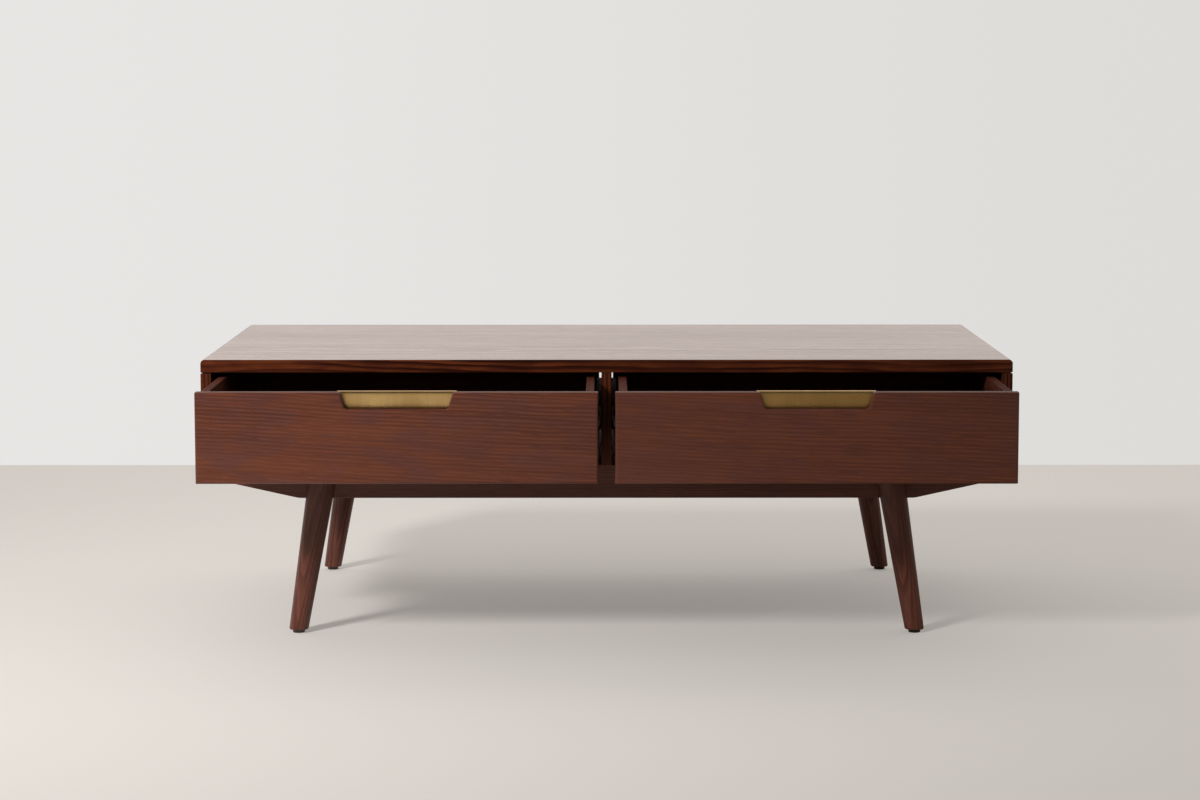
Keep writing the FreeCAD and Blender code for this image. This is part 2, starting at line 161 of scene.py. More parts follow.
@dataclass(frozen=True)
class Outline:
    """Closed anticlockwise outline of straight sides with an arc at each corner."""

    corners: list[tuple[float, float]]
    radii: list[float]
    spans: int = 8

    def ring(self, inset: float) -> Array:
        """Points of the outline drawn in by a distance.

        Formula: each corner moves by the inset along the sum of its sides' inward normals over one plus
        their product. Its arc's radius shrinks by the inset at an outer corner and grows by it at an inner
        one, and the arc's points are the centre plus the first spoke turned in even steps.

        Args:
            inset: Distance that the outline is drawn in.

        Returns:
            The points as an array of point and coordinate, the same number for every inset.
        """
        places = np.array(self.corners)
        come = places - np.roll(places, 1, 0)
        come = come / np.linalg.norm(come, axis=1, keepdims=True)
        leave = np.roll(come, -1, 0)
        along = np.sum(come * leave, axis=1)
        turn = np.arctan2(come[:, 0] * leave[:, 1] - come[:, 1] * leave[:, 0], along)
        first = np.stack([-come[:, 1], come[:, 0]], axis=1)
        second = np.roll(first, -1, 0)
        moved = places + inset * (first + second) / (1.0 + along[:, None])
        radius = np.maximum(np.array(self.radii) - np.sign(turn) * inset, 0.0)
        spoke = -first * (np.sign(turn) * radius)[:, None]
        centre = moved - come * (radius * np.tan(np.abs(turn) / 2))[:, None] - spoke
        angle = turn[:, None] * np.linspace(0.0, 1.0, self.spans + 1)
        x = spoke[:, :1] * np.cos(angle) - spoke[:, 1:] * np.sin(angle)
        y = spoke[:, :1] * np.sin(angle) + spoke[:, 1:] * np.cos(angle)
        return (centre[:, None] + np.stack([x, y], axis=-1)).reshape(-1, 2)


@dataclass(frozen=True)
class EasedEdge:
    """Edge of a board, rounded where it meets the front face and the back face."""

    front: float
    back: float
    spans: int = 4
    flat_share: float = 1.6

    def section(self, thickness: float) -> Array:
        """Section of the edge from the front face to the back face.

        Formula: a quarter circle of the front radius and one of the back radius, each with a flat step on
        both sides that keeps the shading of the faces flat.

        Args:
            thickness: Distance from the front face to the back face.

        Returns:
            Rows of inset and depth.
        """
        flat = self.flat_share
        half = np.concatenate([[[flat, 0.0]], quarter_round(self.spans), [[0.0, flat]]])
        rear = half[::-1] * self.back * np.array([1.0, -1.0])
        return np.concatenate([half * self.front, np.array([0.0, thickness]) + rear])


def eased_slab(outline: Outline, front_y: float, back_y: float, edge: EasedEdge) -> Shell:
    """Board whose outline lies in XZ and whose thickness runs along Y, with eased edges.

    Formula: ring i is the outline drawn in by the inset of step i of the edge's section, at its depth.

    Args:
        outline: Outline of X and Z.
        front_y: Y of the front face.
        back_y: Y of the back face.
        edge: Rounding of the edges.

    Returns:
        The board's closed surface.
    """
    section = edge.section(back_y - front_y)
    flat = np.stack([outline.ring(inset) for inset in section[:, 0]])
    depth = np.broadcast_to(front_y + section[:, 1:], flat.shape[:2])
    return loft(np.stack([flat[..., 0], depth, flat[..., 1]], axis=-1))


def lathe(profile: Array, foot: Point, spans: int = 40) -> Shell:
    """Turned piece about the upright axis through a foot point.

    Formula: each profile row of radius and height becomes a level circle of that radius at that height.

    Args:
        profile: Rows of radius and height.
        foot: Point that the heights start from.
        spans: Number of spans round a circle.

    Returns:
        The turned surface, closed at both ends.
    """
    turn = full_turn(spans)
    circle = np.stack([np.cos(turn), np.sin(turn), np.zeros(spans)], axis=1)
    rings = profile[:, :1, None] * circle + profile[:, 1:, None] * np.array([0.0, 0.0, 1.0])
    return loft(np.array(foot) + rings)


# Pieces


def place_piece(name: str, shells: list[Shell], material: bpy.types.Material, body: str,
                node: str) -> bpy.types.Object:
    """Makes one object of closed shells, and has it ride on a body and stand for a node.

    Args:
        name: Name of the new object.
        shells: Closed surfaces of the piece.
        material: Finish of the piece.
        body: Body that the piece moves with.
        node: Frame node that the piece stands for.

    Returns:
        The new object.
    """
    starts = np.cumsum([0] + [len(shell.points) for shell in shells[:-1]]).tolist()
    faces = [tuple(corner + start for corner in face)
             for shell, start in zip(shells, starts) for face in shell.faces]
    mesh = bpy.data.meshes.new(name)
    mesh.from_pydata(np.concatenate([shell.points for shell in shells]).tolist(), [], faces)
    work = bmesh.new()
    work.from_mesh(mesh)
    bmesh.ops.remove_doubles(work, verts=work.verts, dist=WELD_DISTANCE)
    bmesh.ops.recalc_face_normals(work, faces=work.faces)
    work.to_mesh(mesh)
    work.free()
    mesh.polygons.foreach_set("use_smooth", np.ones(len(mesh.polygons), bool))
    mesh.set_sharp_from_angle(angle=SHARP_ANGLE)
    mesh.materials.append(material)
    piece = bpy.data.objects.new(name, mesh)
    bpy.context.scene.collection.objects.link(piece)
    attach(piece, body)
    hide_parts(node)
    LOG.info("%s: %d faces on %s", name, len(mesh.polygons), body)
    return piece


def dress_node(node: str, material: bpy.types.Material) -> None:
    """Gives a frame node that stays in view its finish.

    Args:
        node: Name of the node.
        material: Finish of the node.
    """
    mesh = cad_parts[node].data
    mesh.materials.clear()
    mesh.materials.append(material)
    LOG.info("%s: %s", node, material.name)


# Shader nodes


@dataclass(frozen=True)
class Noise:
    """Noise drawn out along the grain: its cells to the metre each way, and its finer layers."""

    along: float
    across: float
    detail: float = 2.0
    roughness: float = 0.5


class NodeSheet:
    """Adds nodes to one node tree and joins their sockets."""

    def __init__(self, tree: bpy.types.NodeTree) -> None:
        """Starts with the tree's nodes removed."""
        self.tree = tree
        self.tree.nodes.clear()

    def add(self, kind: str, inputs: dict | None = None, **settings: object) -> bpy.types.Node:
        """Adds a node.

        Args:
            kind: Blender's name of the node's type.
            inputs: Socket or plain value for each input, by its name or number.
            settings: The node's own settings.

        Returns:
            The new node.
        """
        node = self.tree.nodes.new(kind)
        for key, value in settings.items():
            setattr(node, key, value)
        for key, value in (inputs or {}).items():
            self.feed(node.inputs[key], value)
        return node

    def feed(self, socket: Socket, value: object) -> None:
        """Links an input to a socket, or sets its plain value.

        Args:
            socket: The input.
            value: Socket of another node, or a plain value.
        """
        if isinstance(value, Socket):
            self.tree.links.new(value, socket)
        else:
            socket.default_value = value

    def place(self) -> Socket:
        """Puts out the place on the object."""
        return self.add("ShaderNodeTexCoord").outputs["Object"]

    def axis(self, place: Socket, name: str) -> Socket:
        """Puts out one coordinate of a place."""
        return self.add("ShaderNodeSeparateXYZ", {0: place}).outputs[name]

    def stretched(self, place: Socket, scale: Point) -> Socket:
        """Puts out a place scaled by a number along each axis."""
        return self.add("ShaderNodeVectorMath", {0: place, 1: scale}, operation="MULTIPLY").outputs[0]

    def mapped(self, place: Socket, turn: Point, offset: Point) -> Socket:
        """Puts out a place turned and moved."""
        inputs = {"Vector": place, "Rotation": turn, "Location": offset}
        return self.add("ShaderNodeMapping", inputs).outputs[0]

    def work_out(self, operation: str, *values: object) -> Socket:
        """Puts out an operation on numbers."""
        return self.add("ShaderNodeMath", dict(enumerate(values)), operation=operation).outputs[0]

    def plus(self, first: object, second: object) -> Socket:
        """Puts out the sum of two numbers."""
        return self.work_out("ADD", first, second)

    def minus(self, first: object, second: object) -> Socket:
        """Puts out one number less another."""
        return self.work_out("SUBTRACT", first, second)

    def times(self, first: object, second: object) -> Socket:
        """Puts out the product of two numbers."""
        return self.work_out("MULTIPLY", first, second)

    def weighted(self, *terms: tuple[Socket, float]) -> Socket:
        """Puts out the sum of numbers, each times its weight.

        Args:
            terms: Pairs of a number and its weight.

        Returns:
            The sum.
        """
        total, *others = [self.times(value, weight) for value, weight in terms]
        for other in others:
            total = self.plus(total, other)
        return total

    def swing(self, noise: Socket, weight: object) -> Socket:
        """Puts out how far noise lies from its middle, times a weight."""
        return self.times(self.minus(noise, NOISE_MIDDLE), weight)

    def noise(self, place: Socket, noise: Noise) -> Socket:
        """Puts out noise drawn out along X.

        Args:
            place: Place that the noise is read at.
            noise: Its cells and finer layers.

        Returns:
            The noise, about zero to one.
        """
        laid = self.stretched(place, (noise.along, noise.across, noise.across))
        inputs = {"Vector": laid, "Scale": 1.0, "Detail": noise.detail, "Roughness": noise.roughness}
        return self.add("ShaderNodeTexNoise", inputs).outputs[0]

    def ramp(self, value: object, low: float, high: float, start: float = 0.0, end: float = 1.0,
             smooth: bool = True) -> Socket:
        """Puts out a value eased from start to end as the input goes from low to high.

        Args:
            value: Input number.
            low: Input at the start.
            high: Input at the end.
            start: Output at the start.
            end: Output at the end.
            smooth: Whether both ends are eased.

        Returns:
            The eased number.
        """
        inputs = {"Value": value, "From Min": low, "From Max": high, "To Min": start, "To Max": end}
        kind = "SMOOTHSTEP" if smooth else "LINEAR"
        return self.add("ShaderNodeMapRange", inputs, interpolation_type=kind).outputs[0]

    def blend(self, share: object, first: object, second: object, kind: Mixed = Mixed.COLOUR) -> Socket:
        """Puts out one colour or place mixed into another.

        Args:
            share: Share of the second.
            first: Colour or place at share zero.
            second: Colour or place at share one.
            kind: Whether colours or places are mixed.

        Returns:
            The mixed colour or place.
        """
        setting, ending = kind.value
        node = self.add("ShaderNodeMix", data_type=setting)
        sockets = {socket.identifier: socket for socket in (*node.inputs, *node.outputs)}
        for key, value in (("Factor_Float", share), ("A_" + ending, first), ("B_" + ending, second)):
            self.feed(sockets[key], value)
        return sockets["Result_" + ending]

    def either(self, share: object, first: Socket, second: Socket) -> Socket:
        """Puts out one shader mixed into another by a share."""
        return self.add("ShaderNodeMixShader", {0: share, 1: first, 2: second}).outputs[0]


def open_material(name: str) -> tuple[bpy.types.Material, NodeSheet]:
    """Makes an empty material.

    Args:
        name: Name of the material.

    Returns:
        The material and its sheet of nodes.
    """
    material = bpy.data.materials.new(name)
    material.use_nodes = True
    return material, NodeSheet(material.node_tree)


def open_group(name: str, colours: tuple[str, ...], numbers: tuple[str, ...],
               more: tuple[str, ...] = ()) -> tuple[NodeSheet, dict[str, Socket], dict[str, Socket]]:
    """Makes an empty shader group from a place, colours and numbers to colour, roughness and height.

    Args:
        name: Name of the group.
        colours: Names of its colour inputs.
        numbers: Names of its number inputs.
        more: Names of its further number outputs.

    Returns:
        The group's sheet, its input sockets and its output sockets, both by name.
    """
    tree = bpy.data.node_groups.new(name, "ShaderNodeTree")
    inputs = {"Vector": "Vector", **dict.fromkeys(colours, "Color"), **dict.fromkeys(numbers, "Float")}
    outputs = {"Color": "Color", **dict.fromkeys(("Roughness", "Height", *more), "Float")}
    for way, sockets in (("INPUT", inputs), ("OUTPUT", outputs)):
        for title, kind in sockets.items():
            tree.interface.new_socket(name=title, in_out=way, socket_type="NodeSocket" + kind)
    sheet = NodeSheet(tree)
    entry = sheet.add("NodeGroupInput")
    leave = sheet.add("NodeGroupOutput")
    return sheet, {key: entry.outputs[key] for key in inputs}, {key: leave.inputs[key] for key in outputs}


# Effects


@dataclass(frozen=True)
class SawnGrain:
    """Effect of sawn, stained wood whose grain runs along X.

    The year rings are the distance from the log's heart, shifted by slow noise, cut by the board's faces.
    Fibres and pores are noise drawn out along the grain, and pores keep to the early part of each ring.
    """

    bend: Noise = Noise(1.1, 4.5, roughness=0.45)
    shake: Noise = Noise(9.0, 60.0)
    shake_width: float = 0.006
    late_rise: Span = (0.1, 0.7)
    late_fall: Span = (1.0, 0.8)
    late_weight: float = 0.62
    fading: Noise = Noise(3.0, 30.0)
    fading_span: Span = (0.32, 0.6)
    fading_least: float = 0.5
    fibre: Noise = Noise(7.0, 480.0, 3.0, 0.62)
    fibre_weight: float = 0.75
    fibre_roughness: float = 0.12
    fibre_relief: float = 0.35
    streak: Noise = Noise(2.2, 70.0)
    streak_weight: float = 0.55
    tone: Noise = Noise(1.6, 7.0, 1.0)
    tone_weight: float = 0.5
    middle: float = 1.08
    cloud: Noise = Noise(15.0, 40.0, roughness=0.55)
    cloud_span: Span = (0.4, 0.62)
    dash: Noise = Noise(34.0, 1500.0, 1.0)
    dash_span: Span = (0.56, 0.68)
    early_span: Span = (0.55, 0.1)
    pore_least: float = 0.25
    pore_cover: float = 0.55
    pore_roughness: float = 0.08
    coat_full: float = 1.2
    coat_dark: float = 0.42
    coat_pore: float = 0.5

    def build(self) -> bpy.types.NodeTree:
        """Builds the shader group.

        Returns:
            The group.
        """
        sheet, given, put = open_group("sawn_grain", ("Light", "Dark", "Pore", "Mottle"),
                                       ("Ring Pitch", "Wander", "Contrast", "Gloss", "Lacquer"), ("Coat",))
        place = given["Vector"]
        ring = self.ring(sheet, given)
        pores = self.pores(sheet, place, ring)
        fibre = sheet.noise(place, self.fibre)
        dark = self.dark(sheet, given, ring, fibre)
        cloud = sheet.ramp(sheet.noise(place, self.cloud), *self.cloud_span)
        stained = sheet.blend(dark, sheet.blend(cloud, given["Light"], given["Mottle"]), given["Dark"])
        cover = sheet.times(sheet.work_out("MINIMUM", pores, 1.0), self.pore_cover)
        sheet.feed(put["Color"], sheet.blend(cover, stained, given["Pore"]))
        rough = sheet.plus(given["Gloss"], sheet.swing(fibre, self.fibre_roughness))
        sheet.feed(put["Roughness"], sheet.plus(rough, sheet.times(pores, self.pore_roughness)))
        sheet.feed(put["Height"], sheet.minus(sheet.times(fibre, self.fibre_relief), pores))
        worn = sheet.weighted((dark, self.coat_dark), (pores, self.coat_pore))
        sheet.feed(put["Coat"], sheet.times(given["Lacquer"], sheet.minus(self.coat_full, worn)))
        return sheet.tree

    def ring(self, sheet: NodeSheet, given: dict[str, Socket]) -> Socket:
        """Puts out the share of a year's growth, from zero to one across each ring.

        Args:
            sheet: The group's sheet.
            given: The group's inputs.

        Returns:
            The share.
        """
        place = given["Vector"]
        across = sheet.stretched(place, ACROSS_GRAIN)
        radius = sheet.add("ShaderNodeVectorMath", {0: across}, operation="LENGTH").outputs["Value"]
        bend = sheet.swing(sheet.noise(place, self.bend), given["Wander"])
        shake = sheet.swing(sheet.noise(place, self.shake), self.shake_width)
        shifted = sheet.plus(radius, sheet.plus(bend, shake))
        return sheet.work_out("FRACT", sheet.work_out("DIVIDE", shifted, given["Ring Pitch"]))

    def pores(self, sheet: NodeSheet, place: Socket, ring: Socket) -> Socket:
        """Puts out the pores, short dashes that keep to the early part of each ring.

        Args:
            sheet: The group's sheet.
            place: Place on the board.
            ring: Share of a year's growth.

        Returns:
            The cover of the pores.
        """
        dashes = sheet.ramp(sheet.noise(place, self.dash), *self.dash_span)
        return sheet.times(dashes, sheet.plus(self.pore_least, sheet.ramp(ring, *self.early_span)))

    def dark(self, sheet: NodeSheet, given: dict[str, Socket], ring: Socket, fibre: Socket) -> Socket:
        """Puts out how dark the stain is, from late growth, fibres, streaks and slow tone.

        Args:
            sheet: The group's sheet.
            given: The group's inputs.
            ring: Share of a year's growth.
            fibre: Noise of the fibres.

        Returns:
            The share of the dark colour.
        """
        place = given["Vector"]
        fading = sheet.ramp(sheet.noise(place, self.fading), *self.fading_span, start=self.fading_least)
        late = sheet.times(sheet.ramp(ring, *self.late_rise), sheet.ramp(ring, *self.late_fall))
        mixed = sheet.weighted((sheet.times(late, fading), self.late_weight), (fibre, self.fibre_weight),
                               (sheet.noise(place, self.streak), self.streak_weight),
                               (sheet.noise(place, self.tone), self.tone_weight))
        centred = sheet.times(sheet.minus(mixed, self.middle), given["Contrast"])
        return sheet.ramp(sheet.plus(centred, NOISE_MIDDLE), 0.0, 1.0, smooth=False)


@dataclass(frozen=True)
class BrushedLines:
    """Effect of metal brushed along X: fine lines, a slow tarnish and their relief."""

    line: Noise = Noise(18.0, 2600.0, 3.0, 0.6)
    line_weight: float = 0.3
    band: Noise = Noise(9.0, 210.0)
    band_weight: float = 0.15
    cloud: Noise = Noise(22.0, 22.0)
    cloud_weight: float = 0.55
    dull_span: Span = (0.32, 0.7)
    rough_swing: float = 0.35

    def build(self) -> bpy.types.NodeTree:
        """Builds the shader group.

        Returns:
            The group.
        """
        sheet, given, put = open_group("brushed", ("Bright", "Dull"), ("Gloss",))
        place = given["Vector"]
        lines = sheet.noise(place, self.line)
        mixed = sheet.weighted((lines, self.line_weight), (sheet.noise(place, self.band), self.band_weight),
                               (sheet.noise(place, self.cloud), self.cloud_weight))
        dull = sheet.ramp(mixed, *self.dull_span)
        sheet.feed(put["Color"], sheet.blend(dull, given["Bright"], given["Dull"]))
        sheet.feed(put["Roughness"], sheet.plus(given["Gloss"], sheet.swing(mixed, self.rough_swing)))
        sheet.feed(put["Height"], lines)
        return sheet.tree


@dataclass(frozen=True)
class FineCells:
    """Effect of a plated or moulded skin: fine cells, a slow cloud and their relief."""

    cell_weight: float = 0.45
    cloud: Noise = Noise(30.0, 30.0, 3.0, 0.55)
    cloud_weight: float = 0.55
    dark_span: Span = (0.2, 0.8)
    rough_swing: float = 0.2

    def build(self) -> bpy.types.NodeTree:
        """Builds the shader group.

        Returns:
            The group.
        """
        sheet, given, put = open_group("speckled", ("Light", "Dark"), ("Cells", "Gloss"))
        place = given["Vector"]
        cells = sheet.add("ShaderNodeTexVoronoi", {"Vector": place, "Scale": given["Cells"]})
        spots = sheet.add("ShaderNodeSeparateColor", {0: cells.outputs["Color"]}).outputs[0]
        mixed = sheet.weighted((spots, self.cell_weight), (sheet.noise(place, self.cloud), self.cloud_weight))
        dark = sheet.ramp(mixed, *self.dark_span)
        sheet.feed(put["Color"], sheet.blend(dark, given["Light"], given["Dark"]))
        sheet.feed(put["Roughness"], sheet.plus(given["Gloss"], sheet.swing(mixed, self.rough_swing)))
        sheet.feed(put["Height"], spots)
        return sheet.tree


@dataclass(frozen=True)
class Effects:
    """Shader groups that the finishes share."""

    grain: bpy.types.NodeTree
    brush: bpy.types.NodeTree
    speckle: bpy.types.NodeTree

    @classmethod
    def build(cls) -> "Effects":
        """Builds each group once."""
        return cls(SawnGrain().build(), BrushedLines().build(), FineCells().build())


@dataclass(frozen=True)
class EdgeBand:
    """Strip on a board's front and rear edges, with upright grain and colours of its own."""

    colours: dict[str, object]
    middle_y: float
    start: float


def effect_material(name: str, group: bpy.types.NodeTree, values: dict[str, object],
                    constants: dict[str, object], relief: float, turn: Point = ORIGIN, offset: Point = ORIGIN,
                    band: EdgeBand | None = None) -> bpy.types.Material:
    """Makes a material of one effect on a Principled shader.

    Args:
        name: Name of the material.
        group: The effect.
        values: Values of the effect's inputs.
        constants: Values on the shader's own sockets.
        relief: Depth of the bump.
        turn: Turn of the pattern in radians, about X, Y and Z.
        offset: Place of the pattern in the turned axes.
        band: Strip on the front and rear edges, if there is one.

    Returns:
        The material.
    """
    material, sheet = open_material(name)
    place = sheet.place()
    laid = sheet.mapped(place, turn, offset)
    if band:
        away = sheet.work_out("ABSOLUTE", sheet.minus(sheet.axis(place, "Y"), band.middle_y))
        banded = sheet.work_out("GREATER_THAN", away, band.start)
        upright = sheet.mapped(place, GrainRun.ALONG_Z.value, offset)
        laid = sheet.blend(banded, laid, upright, Mixed.PLACE)
        colours = {key: sheet.blend(banded, values[key], colour) for key, colour in band.colours.items()}
        values = {**values, **colours}
    effect = sheet.add("ShaderNodeGroup", node_tree=group)
    for key, value in {"Vector": laid, **values}.items():
        sheet.feed(effect.inputs[key], value)
    result = effect.outputs
    bump = sheet.add("ShaderNodeBump", {"Height": result["Height"], "Distance": relief, "Strength": 1.0})
    linked = {"Base Color": result["Color"], "Roughness": result["Roughness"], "Normal": bump.outputs[0]}
    if values.get("Lacquer"):
        linked["Coat Weight"] = result["Coat"]
    shader = sheet.add("ShaderNodeBsdfPrincipled", {**linked, **constants})
    sheet.add("ShaderNodeOutputMaterial", {"Surface": shader.outputs[0]})
    return material


# Finishes


def solid(colour: Colour) -> tuple[float, float, float, float]:
    """Colour with full cover, as a colour socket takes it."""
    return (*colour, 1.0)


def along_log(heart: Point, length: float, rise: float = 0.0) -> Point:
    """Heart of a board that is cut further along the log, and higher or lower in it."""
    return (heart[0] + length, heart[1], heart[2] + rise)


@dataclass(frozen=True)
class GrainedWood:
    """Open-grained wood, stained or plain, with or without a lacquer."""

    effects: Effects
    light: Colour = (0.101, 0.0290, 0.0134)
    dark: Colour = (0.0563, 0.0161, 0.0092)
    pore: Colour = (0.024, 0.0060, 0.0030)
    mottle: Colour = (0.0834, 0.0273, 0.0198)
    ring_pitch: float = 0.0054
    wander: float = 0.05
    contrast: float = 1.15
    gloss: float = 0.45
    relief: float = 0.00005
    lacquer: float = 0.03
    lacquer_roughness: float = 0.25
    specular: float = 0.2

    def colours(self) -> dict[str, object]:
        """The stain's colours, by the effect's inputs."""
        named = {"Light": self.light, "Dark": self.dark, "Pore": self.pore, "Mottle": self.mottle}
        return {key: solid(colour) for key, colour in named.items()}

    def material(self, name: str, run: GrainRun, heart: Point, lean: float = 0.0,
                 band: EdgeBand | None = None) -> bpy.types.Material:
        """Makes the finish of one piece.

        Args:
            name: Name of the material.
            run: Way that the grain runs.
            heart: Offset of the piece from the log's heart, in the turned axes.
            lean: Extra turn about Y for a leaning piece or sloping grain.
            band: Strip on the front and rear edges, if there is one.

        Returns:
            The material.
        """
        turn = (run.value[0], run.value[1] + lean, run.value[2])
        values = {**self.colours(), "Ring Pitch": self.ring_pitch, "Wander": self.wander,
                  "Contrast": self.contrast, "Gloss": self.gloss, "Lacquer": self.lacquer}
        constants = {"Coat Roughness": self.lacquer_roughness, "Specular IOR Level": self.specular}
        return effect_material(name, self.effects.grain, values, constants, self.relief, turn, heart, band)


@dataclass(frozen=True)
class BrushedMetal:
    """Metal sheet brushed in one direction."""

    effects: Effects
    bright: Colour
    dull: Colour
    gloss: float
    relief: float = 0.000004

    def material(self, name: str, run: GrainRun) -> bpy.types.Material:
        """Makes the finish of one piece, brushed along the given axis."""
        values = {"Bright": solid(self.bright), "Dull": solid(self.dull), "Gloss": self.gloss}
        return effect_material(name, self.effects.brush, values, {"Metallic": 1.0}, self.relief, run.value)


@dataclass(frozen=True)
class SpeckledSkin:
    """Plated steel or moulded plastic with a fine cellular skin."""

    effects: Effects
    light: Colour
    dark: Colour
    cells: float
    gloss: float
    relief: float
    metallic: float = 1.0

    def material(self, name: str) -> bpy.types.Material:
        """Makes the finish.

        Args:
            name: Name of the material.

        Returns:
            The material.
        """
        values = {"Light": solid(self.light), "Dark": solid(self.dark), "Cells": self.cells,
                  "Gloss": self.gloss}
        return effect_material(name, self.effects.speckle, values, {"Metallic": self.metallic}, self.relief)


@dataclass(frozen=True)
class Finishes:
    """Every finish of the table."""

    wood: GrainedWood
    board: GrainedWood
    box: GrainedWood
    base: GrainedWood
    edge: GrainedWood
    top: GrainedWood
    dowel: GrainedWood
    brass: BrushedMetal
    zinc: SpeckledSkin
    black: SpeckledSkin
    bolt: SpeckledSkin
    plastic: SpeckledSkin

    @classmethod
    def build(cls, effects: Effects) -> "Finishes":
        """Chooses the colours and gloss of each finish.

        Args:
            effects: Shader groups that the finishes share.

        Returns:
            The finishes.
        """
        return cls(
            wood=GrainedWood(effects),
            board=GrainedWood(effects, specular=0.08, lacquer=0.0),
            box=GrainedWood(effects, light=(0.086, 0.0250, 0.0118), dark=(0.048, 0.0140, 0.0080),
                            mottle=(0.071, 0.0235, 0.0170), gloss=0.6, specular=0.02, lacquer=0.0),
            base=GrainedWood(effects, light=(0.113, 0.0350, 0.0204), dark=(0.0555, 0.0172, 0.0110),
                             mottle=(0.0965, 0.0325, 0.0230), ring_pitch=0.0032, wander=0.02, contrast=1.4),
            edge=GrainedWood(effects, light=(0.106, 0.0240, 0.0072), dark=(0.0165, 0.0036, 0.0018),
                             mottle=(0.070, 0.0152, 0.0062), specular=0.05, lacquer=0.0),
            top=GrainedWood(effects, light=(0.140, 0.0430, 0.0170), dark=(0.045, 0.0130, 0.0060),
                            mottle=(0.110, 0.0350, 0.0180), contrast=1.3, gloss=0.34, specular=0.36,
                            lacquer=0.95, lacquer_roughness=0.17),
            dowel=GrainedWood(effects, light=(0.62, 0.43, 0.26), dark=(0.47, 0.31, 0.18),
                              pore=(0.33, 0.20, 0.11), mottle=(0.62, 0.43, 0.26), ring_pitch=0.004,
                              wander=0.02, contrast=0.8, gloss=0.6, specular=0.5, lacquer=0.0),
            brass=BrushedMetal(effects, bright=(0.84, 0.57, 0.245), dull=(0.67, 0.44, 0.172), gloss=0.3),
            zinc=SpeckledSkin(effects, light=(0.62, 0.63, 0.65), dark=(0.45, 0.46, 0.48), cells=900.0,
                              gloss=0.34, relief=0.000004),
            black=SpeckledSkin(effects, light=(0.022, 0.022, 0.024), dark=(0.013, 0.013, 0.014), cells=900.0,
                               gloss=0.46, relief=0.000006),
            bolt=SpeckledSkin(effects, light=(0.55, 0.55, 0.56), dark=(0.38, 0.38, 0.39), cells=1200.0,
                              gloss=0.38, relief=0.000005),
            plastic=SpeckledSkin(effects, light=(0.016, 0.015, 0.014), dark=(0.009, 0.009, 0.009),
                                 cells=2600.0, gloss=0.5, relief=0.00002, metallic=0.0),
        )


# Sub-assemblies


@dataclass
class Tabletop:
    """Top board with rounded ends."""

    finishes: Finishes
    end_round: float = 0.006
    lower_round: float = 0.0015
    edge: EasedEdge = EasedEdge(0.001, 0.001)
    face_limit: float = 0.9
    end_limit: float = 0.4
    heart: Point = (0.31, 0.02, -0.275)

    def build(self) -> None:
        """Makes the board from its section, carried from the front edge to the rear edge."""
        low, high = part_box("top_panel")
        corners = [(low.x, low.z), (high.x, low.z), (high.x, high.z), (low.x, high.z)]
        radii = [self.lower_round, self.lower_round, self.end_round, self.end_round]
        board = eased_slab(Outline(corners, radii), low.y, high.y, self.edge)
        material = self.finishes.edge.material("top_edge_wood", GrainRun.ALONG_X, self.heart)
        piece = place_piece("top_board", [board], material, "carcass", "top_panel")
        self.face(piece.data)

    def face(self, mesh: bpy.types.Mesh) -> None:
        """Gives the upper face the lacquered finish, and the ends a band whose grain runs across.

        Args:
            mesh: Mesh of the board.
        """
        mesh.materials.append(self.finishes.top.material("top_face_wood", GrainRun.ALONG_X, self.heart))
        mesh.materials.append(self.finishes.edge.material("top_end_wood", GrainRun.ALONG_Y, self.heart))
        normals = np.empty(len(mesh.polygons) * 3, np.float32)
        mesh.polygons.foreach_get("normal", normals)
        normals = normals.reshape(-1, 3)
        finish = np.where(np.abs(normals[:, 0]) > self.end_limit, TopFace.END, TopFace.EDGE)
        finish = np.where(normals[:, 2] > self.face_limit, TopFace.UPPER, finish)
        mesh.polygons.foreach_set("material_index", finish.astype(np.int32))


@dataclass
class Carcass:
    """Boards round the drawers, with their dowels."""

    finishes: Finishes
    band_thickness: float = 0.0006

    def build(self) -> None:
        """Dresses the boards, each cut from another part of the log."""
        finishes = self.finishes
        boards = {
            "left_side_panel": (finishes.board, GrainRun.ALONG_Y, (0.2, 0.12, -0.14)),
            "right_side_panel": (finishes.board, GrainRun.ALONG_Y, (0.9, 0.15, -0.19)),
            "centre_divider": (finishes.board, GrainRun.ALONG_Y, (1.9, 0.1, -0.2)),
            "bottom_panel": (finishes.base, GrainRun.ALONG_X, (2.3, 0.04, -0.11)),
            "left_back_panel": (finishes.wood, GrainRun.ALONG_X, (3.1, -0.2, -0.2)),
            "right_back_panel": (finishes.wood, GrainRun.ALONG_X, (4.2, -0.2, -0.23)),
        }
        for node, (finish, run, heart) in boards.items():
            band = self.band(node) if run is GrainRun.ALONG_Y else None
            dress_node(node, finish.material(node + "_wood", run, heart, band=band))
        dress_node("carcass_dowels", finishes.dowel.material("dowel_wood", GrainRun.ALONG_Z, DOWEL_HEART))

    def band(self, node: str) -> EdgeBand:
        """Edge band of an upright board, as deep as its veneer is thick.

        Args:
            node: Name of the board's node.

        Returns:
            The band.
        """
        low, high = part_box(node)
        reach = (high.y - low.y) / 2 - self.band_thickness
        return EdgeBand(self.finishes.edge.colours(), (low.y + high.y) / 2, reach)


